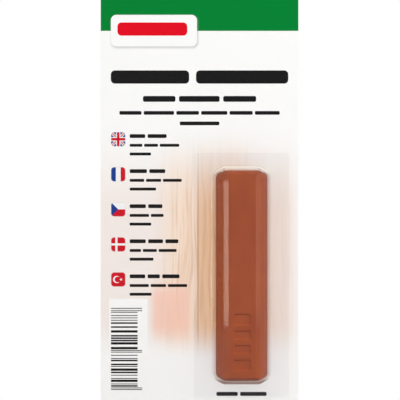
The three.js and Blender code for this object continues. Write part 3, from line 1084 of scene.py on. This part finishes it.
def build_code(settings):
    """The block of code stripes, of random widths."""
    sheet = settings.print
    values = {
        "Stripes": sheet.code_bars,
        "Widest": WIDEST_STRIPE,
        "Stripe length": sheet.code_length,
        "Guard length": sheet.code_guard,
        "Block height": sheet.code_height,
        "Seed": sheet.code_seed,
        "Corner radius": 0.0,
        "Thickness": sheet.thickness,
        "Place": (sheet.code_left, CARD_FRONT, sheet.code_top),
        "Material": ink_material("code_ink", sheet.ink),
    }
    ink_piece("code_stripes", stripe_group(), values)


def build_flags(settings):
    """The column of square flags."""
    sheet = settings.print
    values = {
        "Patches": sheet.flag_count,
        "Side": sheet.flag_size,
        "Pitch": sheet.row_pitch,
        "Corner radius": sheet.flag_radius,
        "Thickness": sheet.thickness,
        "Place": (sheet.flag_x, CARD_FRONT, sheet.flag_z),
        "Material": flag_material(sheet),
    }
    ink_piece("language_flags", patch_group(), values)


def shrunk_profile(bar, draft, facet, inset):
    """Insets and heights from the bar's back to its flat front, moved in by the edge radius."""
    high = BAR_HIGH.y - BAR_LOW.y
    profile = [
        Vector((0, 0)),
        Vector((0, bar.land)),
        Vector((draft, bar.skirt)),
        Vector((inset - facet, high - bar.facet_drop)),
        Vector((inset, high)),
    ]
    normals = [Vector((0, -1))]
    for low, top in zip(profile, profile[1:]):
        along = (top - low).normalized()
        normals.append(Vector((-along.y, along.x)))
    normals.append(Vector((0, 1)))
    shrunk = []
    for point, below, above in zip(profile, normals, normals[1:]):
        share = bar.edge_radius / (1 + below.dot(above))
        shrunk.append(point - share * (below + above))
    return shrunk


def facing(turn):
    """The level direction at a turn in degrees."""
    return Vector((math.cos(math.radians(turn)), math.sin(math.radians(turn))))


def rounded_corner(corner, start, end, radius):
    """A corner rounded from one facing to another: its points, each with the way it faces."""
    before, after = facing(start), facing(end)
    middle = corner - (before + after) * (radius / (1 + before.dot(after)))
    steps = math.ceil((end - start) / TURN_STEP)
    turns = [start + (end - start) * step / steps for step in range(steps + 1)]
    return [(middle + facing(turn) * radius, turn) for turn in turns]


def core_corners(bar):
    """The bar shrunk by its edge radius: corner points as place, facing and height, and its outline."""
    half_width = (BAR_HIGH.x - BAR_LOW.x) / 2
    half_length = (BAR_HIGH.z - BAR_LOW.z) / 2
    side = shrunk_profile(bar, bar.side_draft, bar.facet_side, half_width - bar.table_width / 2)
    end = shrunk_profile(bar, bar.end_draft, bar.facet_end, bar.end_inset)
    slant = math.atan2(bar.cut_across, bar.cut_along)
    cut_across = bar.cut_across - bar.edge_radius * (1 - math.tan((math.pi / 2 - slant) / 2))
    cut_along = bar.cut_along - bar.edge_radius * (1 - math.tan(slant / 2))
    cut_facing = math.degrees(slant)
    corners, outline = [], []
    for level, (beside, beyond) in enumerate(zip(side, end)):
        x = half_width - beside.x
        z = half_length - beyond.x
        if level < CUT_LEVELS:
            near_side = rounded_corner(Vector((x, z - cut_along)), 0, cut_facing, bar.corner_radius)
            near_end = rounded_corner(Vector((x - cut_across, z)), cut_facing, 90, bar.corner_radius)
            quarter = [(*point, beside.y) for point in near_side]
            quarter += [(*point, beyond.y) for point in near_end]
        else:
            sharp = rounded_corner(Vector((x, z)), 0, 90, 0)
            quarter = [(*point, min(beside.y, beyond.y)) for point in sharp]
        flipped = [(Vector((-spot.x, spot.y)), 180 - turn, up) for spot, turn, up in reversed(quarter)]
        half = quarter + flipped
        whole = half + [(-spot, turn + 180, up) for spot, turn, up in half]
        corners += whole
        if level == 0:
            outline = [(spot, turn) for spot, turn, _ in whole]
    return corners, outline


def pack_point(across, along, up):
    """A point given from the middle of the bar and up from the card's front."""
    middle = (BAR_LOW + BAR_HIGH) / 2
    return Vector((middle.x + across, CARD_FRONT - up, middle.z + along))


def grown_ring(outline, radius, up):
    """Points round an outline that is grown by a radius, in order."""
    return [pack_point(*(spot + facing(turn) * radius), up) for spot, turn in outline]


def ball_points(corners, radius, back, lowest):
    """Points of a ball round each corner, the way it faces, from a lowest tilt in steps up to the pole."""
    points = []
    for spot, turn, up in corners:
        for rank in range(lowest, TILT_STEPS + 1):
            tilt = math.pi / 2 * rank / TILT_STEPS
            place = spot + facing(turn) * (radius * math.cos(tilt))
            points.append(pack_point(*place, back + up + radius * math.sin(tilt)))
    return points


def add_hull(shape, points):
    """The convex hull of points, with flat areas made one face, as new faces of a bmesh."""
    hull = bmesh.new()
    for point in points:
        hull.verts.new(point)
    bmesh.ops.remove_doubles(hull, verts=hull.verts, dist=MERGE_DISTANCE)
    result = bmesh.ops.convex_hull(hull, input=hull.verts)
    inside = result["geom_interior"] + result["geom_unused"]
    spare = {item for item in inside if isinstance(item, bmesh.types.BMVert)}
    bmesh.ops.delete(hull, geom=list(spare), context="VERTS")
    bmesh.ops.dissolve_limit(hull, angle_limit=FLAT_ANGLE, verts=hull.verts, edges=hull.edges)
    mesh = bpy.data.meshes.new("hull")
    hull.to_mesh(mesh)
    hull.free()
    shape.from_mesh(mesh)
    bpy.data.meshes.remove(mesh)


def delete_level_faces(shape, depth):
    """Takes out the faces that lie wholly at one depth."""
    level = []
    for face in shape.faces:
        if all(abs(vert.co.y - depth) < LEVEL_TOLERANCE for vert in face.verts):
            level.append(face)
    bmesh.ops.delete(shape, geom=level, context="FACES_ONLY")


def loop_edges(shape, points):
    """New points joined into a closed loop."""
    verts = [shape.verts.new(point) for point in points]
    return [shape.edges.new((verts[spot - 1], verts[spot])) for spot in range(len(verts))]


def add_band(shape, low, high):
    """Faces between two loops of as many points."""
    lower = [shape.verts.new(point) for point in low]
    upper = [shape.verts.new(point) for point in high]
    for spot in range(len(lower)):
        shape.faces.new((lower[spot - 1], lower[spot], upper[spot], upper[spot - 1]))


def add_film_side(shape, bar, distance, foot, floor, rim):
    """One side of the film: dome, upright wall, hollow foot and flange, as far outside the bar as given."""
    corners, outline = core_corners(bar)
    radius = bar.edge_radius + distance
    back = CARD_FRONT - BAR_HIGH.y
    wall_foot = floor + foot
    points = ball_points(corners, radius, back, 0) + grown_ring(outline, radius, wall_foot)
    add_hull(shape, points)
    delete_level_faces(shape, CARD_FRONT - wall_foot)
    rings = []
    for step in range(FOOT_STEPS + 1):
        turn = math.pi / 2 * step / FOOT_STEPS
        out = foot * (1 - math.cos(turn))
        up = floor + foot * (1 - math.sin(turn))
        rings.append(grown_ring(outline, radius + out, up))
    for upper, lower in zip(rings, rings[1:]):
        add_band(shape, lower, upper)
    flange = [pack_point(point.x, point.y, floor) for point in rim]
    edges = loop_edges(shape, rings[-1]) + loop_edges(shape, flange)
    bmesh.ops.triangle_fill(shape, use_beauty=True, edges=edges)
    return flange


def mark_folds(mesh, widest):
    """Marks the points that touch only narrow faces, which are those of the film's bends."""
    flat = set()
    for face in mesh.polygons:
        corners = [mesh.vertices[spot].co for spot in face.vertices]
        round_it = sum((corners[spot] - corners[spot - 1]).length for spot in range(len(corners)))
        if 2 * face.area / round_it > widest:
            flat.update(face.vertices)
    fold = mesh.attributes.new("fold", "FLOAT", "POINT")
    for spot, value in enumerate(fold.data):
        value.value = 0.0 if spot in flat else 1.0


def build_blister(settings):
    """The clear blister, in place of its CAD node."""
    film = settings.film
    width = SHELL_HIGH.x - SHELL_LOW.x
    height = SHELL_HIGH.z - SHELL_LOW.z
    rim = rounded_rectangle(width, height, film.flange_radius, RIM_STEPS)
    shape = bmesh.new()
    outer_distance = film.clearance + film.thickness
    outer_floor = film.seal_gap + film.thickness
    outer = add_film_side(shape, settings.bar, outer_distance, film.foot_radius, outer_floor, rim)
    inner_foot = film.foot_radius + film.thickness
    inner = add_film_side(shape, settings.bar, film.clearance, inner_foot, film.seal_gap, rim)
    add_band(shape, inner, outer)
    blister = mesh_piece("formed_blister", shape, film_material(film))
    mark_folds(blister.data, FOLD_WIDTH)
    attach(blister, "blister")
    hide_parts("blister_shell")


def soft_step(value):
    """0 below zero, 1 above one and a smooth rise between them."""
    share = min(max(value, 0.0), 1.0)
    return share * share * (3 - 2 * share)


def panel_sink(bar, across, along):
    """How deep the bar's front is sunk at a place, measured from the panel's middle."""
    side = max(abs(across) - (bar.panel_width / 2 - bar.panel_radius), 0)
    end = max(abs(along) - (bar.panel_length / 2 - bar.panel_radius), 0)
    inside = bar.panel_radius - math.hypot(side, end)
    sunk = soft_step(inside / PANEL_SOFTNESS)
    pitch = bar.panel_length / (bar.panel_ribs + 1)
    for rib in range(1, bar.panel_ribs + 1):
        away = abs(along + bar.panel_length / 2 - rib * pitch) - bar.rib_width / 2
        sunk *= soft_step(away / PANEL_SOFTNESS)
    return bar.panel_depth * sunk


def add_panel(shape, bar, table_up):
    """Adds the sunk panel as a fine grid, and gives the open edges round it and round the bar's front."""
    middle = -(BAR_HIGH.z - BAR_LOW.z) / 2 + bar.panel_margin + bar.panel_length / 2
    border = 2 * PANEL_BORDER * PANEL_GRID
    columns = round((bar.panel_width + border) / PANEL_GRID)
    rows = round((bar.panel_length + border) / PANEL_GRID)
    grid = []
    for row in range(rows + 1):
        along = (row - rows / 2) * PANEL_GRID
        line = []
        for column in range(columns + 1):
            across = (column - columns / 2) * PANEL_GRID
            up = table_up - panel_sink(bar, across, along)
            line.append(shape.verts.new(pack_point(across, middle + along, up)))
        grid.append(line)
    for row in range(rows):
        for column in range(columns):
            below, above = grid[row], grid[row + 1]
            shape.faces.new((below[column], below[column + 1], above[column + 1], above[column]))
    return [edge for edge in shape.edges if edge.is_boundary]


def build_bar(settings):
    """The wax bar, in place of its CAD node."""
    bar = settings.bar
    corners, _ = core_corners(bar)
    back_up = CARD_FRONT - BAR_HIGH.y
    table_up = CARD_FRONT - BAR_LOW.y
    shape = bmesh.new()
    add_hull(shape, ball_points(corners, bar.edge_radius, back_up, -TILT_STEPS))
    delete_level_faces(shape, BAR_LOW.y)
    open_edges = add_panel(shape, bar, table_up)
    bmesh.ops.triangle_fill(shape, use_beauty=True, edges=open_edges)
    wax = mesh_piece("moulded_wax_bar", shape, wax_material(bar))
    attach(wax, "wax_bar")
    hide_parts("wax_bar")


def spatula_half_width(spatula, along, size):
    """Half the spatula's width at a distance from the blade's tip."""
    half = size.x / 2
    handle = spatula.handle_width / 2
    if along < spatula.blade_corner:
        low = spatula.blade_corner - along
        return half - spatula.blade_corner + math.sqrt(max(spatula.blade_corner**2 - low**2, 0))
    if along < spatula.blade_length:
        return half
    straight = size.z - handle
    if along < straight:
        return half + (handle - half) * (along - spatula.blade_length) / (straight - spatula.blade_length)
    return math.sqrt(max(handle**2 - (along - straight) ** 2, 0))


def spatula_thickness(spatula, along, size):
    """The spatula's thickness at a distance from the blade's tip, with the grip grooves taken off."""
    full = size.y
    blade = spatula.tip_thickness + (full - spatula.tip_thickness) * along / spatula.blade_length
    thickness = min(full, blade)
    first = size.z - spatula.handle_width / 2 - spatula.grooves * spatula.groove_pitch
    for groove in range(spatula.grooves):
        away = abs(along - first - groove * spatula.groove_pitch) / (GROOVE_SHARE * spatula.groove_pitch)
        thickness -= spatula.groove_depth * (1 - soft_step(away))
    return thickness


def spatula_section(spatula, along, size):
    """The spatula's outline across it, as points with softly rounded edges."""
    half = spatula_half_width(spatula, along, size)
    thickness = spatula_thickness(spatula, along, size)
    radius = min(spatula.edge_radius, THICKNESS_LIMIT * thickness, WIDTH_LIMIT * half)
    points = rounded_rectangle(2 * half, thickness, radius, SECTION_STEPS)
    middle = (SPATULA_LOW.x + SPATULA_HIGH.x) / 2
    return [
        Vector((middle + point.x, SPATULA_HIGH.y - thickness / 2 - point.y, SPATULA_LOW.z + along))
        for point in points
    ]


def build_spatula(settings):
    """The spatula, in place of its CAD node."""
    spatula = settings.spatula
    size = SPATULA_HIGH - SPATULA_LOW
    handle = spatula.handle_width / 2
    straight = size.z - handle
    corner = spatula.blade_corner
    shank = straight - corner
    tip_turn = 90 / TIP_STEPS
    handle_turn = 90 / HANDLE_STEPS
    stations = [corner * (1 - math.cos(math.radians(tip_turn * step))) for step in range(TIP_STEPS)]
    stations += [corner + shank * step / SHANK_STEPS for step in range(SHANK_STEPS)]
    turns = [math.radians(handle_turn * step) for step in range(HANDLE_STEPS)]
    stations += [straight + handle * math.sin(turn) for turn in turns]
    sections = [spatula_section(spatula, along, size) for along in stations]
    shape = bmesh.new()
    for low, high in zip(sections, sections[1:]):
        add_band(shape, low, high)
    for section in (sections[0], sections[-1]):
        shape.faces.new([shape.verts.new(point) for point in section])
    strip = mesh_piece("moulded_spatula", shape, plastic_material(spatula))
    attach(strip, "spatula")
    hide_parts("spatula")


def white_rays(tree):
    """The Light Path node, and 1 for the rays that see white surroundings."""
    path = tree.node("ShaderNodeLightPath", None, None, "Is Camera Ray")
    seen = path.math("MAXIMUM", path.other("Is Glossy Ray"))
    return path, seen.math("MAXIMUM", path.other("Is Transmission Ray"))


def floor_material(stage):
    """Pale floor that takes shadows near the card and fades into the white surroundings further out."""
    material, tree = new_material("pale_floor")
    place = object_place(tree)
    x, y, _ = tree.axes(place)
    far = tree.step((x * x + y * y).math("SQRT"), *FLOOR_FADE)
    path, seen = white_rays(tree)
    cloud = tree.spots(place, 40 * MM)
    shown = tree.blend(path.other("Is Diffuse Ray"), stage.floor, stage.bounce)
    pale = {"Base Color": shown, "Roughness": 0.6 + 0.1 * cloud}
    matt = tree.node("ShaderNodeBsdfPrincipled", None, pale)
    white = tree.node("ShaderNodeEmission", None, {"Color": (1, 1, 1), "Strength": 1.0})
    shader = tree.node("ShaderNodeMixShader", None, {0: far * seen, 1: matt, 2: white})
    tree.node("ShaderNodeOutputMaterial", None, {"Surface": shader})
    return material


def add_floor(stage):
    """A round floor under the card's lower edge."""
    shape = bmesh.new()
    bmesh.ops.create_circle(shape, cap_ends=True, segments=FLOOR_SEGMENTS, radius=stage.floor_radius)
    mesh = bpy.data.meshes.new("floor")
    shape.to_mesh(mesh)
    shape.free()
    mesh.transform(Matrix.Translation((0, 0, CARD_LOW.z - FLOOR_GAP)))
    mesh.materials.append(floor_material(stage))
    link_object("floor", mesh)


def add_lamp(name, target, turn, rise, far, width, height, watts):
    """A soft lamp that shines at a target, turned to the right of the front and raised, in degrees."""
    lamp = bpy.data.lights.new(name, "AREA")
    lamp.shape = "RECTANGLE"
    lamp.size = width
    lamp.size_y = height
    lamp.energy = watts
    level = far * math.cos(math.radians(rise))
    away = Vector((
        level * math.sin(math.radians(turn)),
        -level * math.cos(math.radians(turn)),
        far * math.sin(math.radians(rise)),
    ))
    holder = link_object(name, lamp)
    holder.location = target + away
    holder.rotation_euler = (-away).to_track_quat("-Z", "Y").to_euler()
    holder.visible_camera = False
    return holder


def set_world(stage):
    """White surroundings for the camera and for reflections, and plain light for the rest."""
    world = bpy.data.worlds.new("studio")
    world.use_nodes = True
    world.node_tree.nodes.clear()
    tree = Tree(world.node_tree)
    _, seen = white_rays(tree)
    lit = tree.node("ShaderNodeBackground", None, {"Color": (1, 1, 1), "Strength": stage.ambient})
    white = tree.node("ShaderNodeBackground", None, {"Color": (1, 1, 1), "Strength": 1.0})
    shader = tree.node("ShaderNodeMixShader", None, {0: seen, 1: lit, 2: white})
    tree.node("ShaderNodeOutputWorld", None, {"Surface": shader})
    bpy.context.scene.world = world


def set_camera(stage):
    """The camera, straight in front of the card."""
    camera = bpy.data.cameras.new("camera")
    camera.sensor_width = stage.sensor
    camera.lens = stage.sensor * stage.view_distance / stage.view_width
    camera.clip_start = NEAR_CLIP
    camera.clip_end = FAR_CLIP
    holder = link_object("camera", camera)
    holder.location = (stage.view_x, CARD_FRONT - stage.view_distance, stage.view_z)
    holder.rotation_euler = (math.pi / 2, 0, 0)
    bpy.context.scene.camera = holder


def build_stage(settings):
    """Camera, floor, surroundings and lamps."""
    stage = settings.stage
    set_camera(stage)
    set_world(stage)
    add_floor(stage)
    bar = (BAR_LOW + BAR_HIGH) / 2
    for name, setup in SIDE_LAMPS.items():
        side = add_lamp(name, bar, *setup)
        side.data.use_shadow = False
        side.visible_glossy = False
    facets = {
        "left_strip": Vector((bar.x - FACET_ACROSS, BAR_LOW.y, LEFT_STRIP_Z)),
        "right_strip": Vector((bar.x + FACET_ACROSS, BAR_LOW.y, bar.z)),
    }
    for name, setup in STRIP_LAMPS.items():
        strip = add_lamp(name, facets[name], *setup)
        strip.data.color = STRIP_COLOUR
        strip.visible_diffuse = False
    add_lamp("back_lamp", bar, *BACK_LAMP)
    bpy.context.scene.view_settings.view_transform = "Standard"


class WAXSTICK_OT_stage(bpy.types.Operator):
    """Set up the camera, the floor and the lights"""

    bl_idname = "wax_stick.stage"
    bl_label = "Stage"
    bl_options = {"REGISTER", "UNDO"}

    def execute(self, context):
        build_stage(context.scene.wax_stick)
        return {"FINISHED"}


class WAXSTICK_OT_card(bpy.types.Operator):
    """Build the printed card with its peg slot"""

    bl_idname = "wax_stick.card"
    bl_label = "Card"
    bl_options = {"REGISTER", "UNDO"}

    def execute(self, context):
        build_card(context.scene.wax_stick)
        return {"FINISHED"}


class WAXSTICK_OT_rows(bpy.types.Operator):
    """Print the rows of bars"""

    bl_idname = "wax_stick.rows"
    bl_label = "Printed rows"
    bl_options = {"REGISTER", "UNDO"}

    def execute(self, context):
        build_rows(context.scene.wax_stick)
        return {"FINISHED"}


class WAXSTICK_OT_code(bpy.types.Operator):
    """Print the block of code stripes"""

    bl_idname = "wax_stick.code"
    bl_label = "Code stripes"
    bl_options = {"REGISTER", "UNDO"}

    def execute(self, context):
        build_code(context.scene.wax_stick)
        return {"FINISHED"}


class WAXSTICK_OT_flags(bpy.types.Operator):
    """Print the column of flags"""

    bl_idname = "wax_stick.flags"
    bl_label = "Flags"
    bl_options = {"REGISTER", "UNDO"}

    def execute(self, context):
        build_flags(context.scene.wax_stick)
        return {"FINISHED"}


class WAXSTICK_OT_blister(bpy.types.Operator):
    """Form the clear blister"""

    bl_idname = "wax_stick.blister"
    bl_label = "Blister"
    bl_options = {"REGISTER", "UNDO"}

    def execute(self, context):
        build_blister(context.scene.wax_stick)
        return {"FINISHED"}


class WAXSTICK_OT_bar(bpy.types.Operator):
    """Mould the wax bar"""

    bl_idname = "wax_stick.bar"
    bl_label = "Wax bar"
    bl_options = {"REGISTER", "UNDO"}

    def execute(self, context):
        build_bar(context.scene.wax_stick)
        return {"FINISHED"}


class WAXSTICK_OT_spatula(bpy.types.Operator):
    """Mould the spatula"""

    bl_idname = "wax_stick.spatula"
    bl_label = "Spatula"
    bl_options = {"REGISTER", "UNDO"}

    def execute(self, context):
        build_spatula(context.scene.wax_stick)
        return {"FINISHED"}


STEPS = (
    WAXSTICK_OT_stage,
    WAXSTICK_OT_card,
    WAXSTICK_OT_rows,
    WAXSTICK_OT_code,
    WAXSTICK_OT_flags,
    WAXSTICK_OT_blister,
    WAXSTICK_OT_bar,
    WAXSTICK_OT_spatula,
)


class WAXSTICK_PT_sidebar(bpy.types.Panel):
    """Lists the building steps and their settings"""

    bl_idname = "WAXSTICK_PT_sidebar"
    bl_label = "Carded wax stick"
    bl_space_type = "VIEW_3D"
    bl_region_type = "UI"
    bl_category = "Wax Stick"

    def draw(self, context):
        settings = context.scene.wax_stick
        for step in STEPS:
            self.layout.operator(step.bl_idname)
        for group in settings.bl_rna.properties:
            if group.type != "POINTER" or group.identifier == "rna_type":
                continue
            box = self.layout.box()
            box.label(text=group.identifier.capitalize())
            part = getattr(settings, group.identifier)
            for name in part.__annotations__:
                box.prop(part, name)


CLASSES = (
    CardSettings,
    PictureSettings,
    PrintSettings,
    BarSettings,
    FilmSettings,
    SpatulaSettings,
    StageSettings,
    WaxStickSettings,
    *STEPS,
    WAXSTICK_PT_sidebar,
)


def register():
    """Registers the classes and gives the scene its settings."""
    for each in CLASSES:
        bpy.utils.register_class(each)
    bpy.types.Scene.wax_stick = bpy.props.PointerProperty(type=WaxStickSettings)


def unregister():
    """Takes the settings and the classes out again."""
    del bpy.types.Scene.wax_stick
    for each in reversed(CLASSES):
        bpy.utils.unregister_class(each)


def main():
    """Builds the stage and every piece."""
    register()
    bpy.ops.wax_stick.stage()
    bpy.ops.wax_stick.card()
    bpy.ops.wax_stick.rows()
    bpy.ops.wax_stick.code()
    bpy.ops.wax_stick.flags()
    bpy.ops.wax_stick.blister()
    bpy.ops.wax_stick.bar()
    bpy.ops.wax_stick.spatula()


if __name__ == "__main__":
    main()
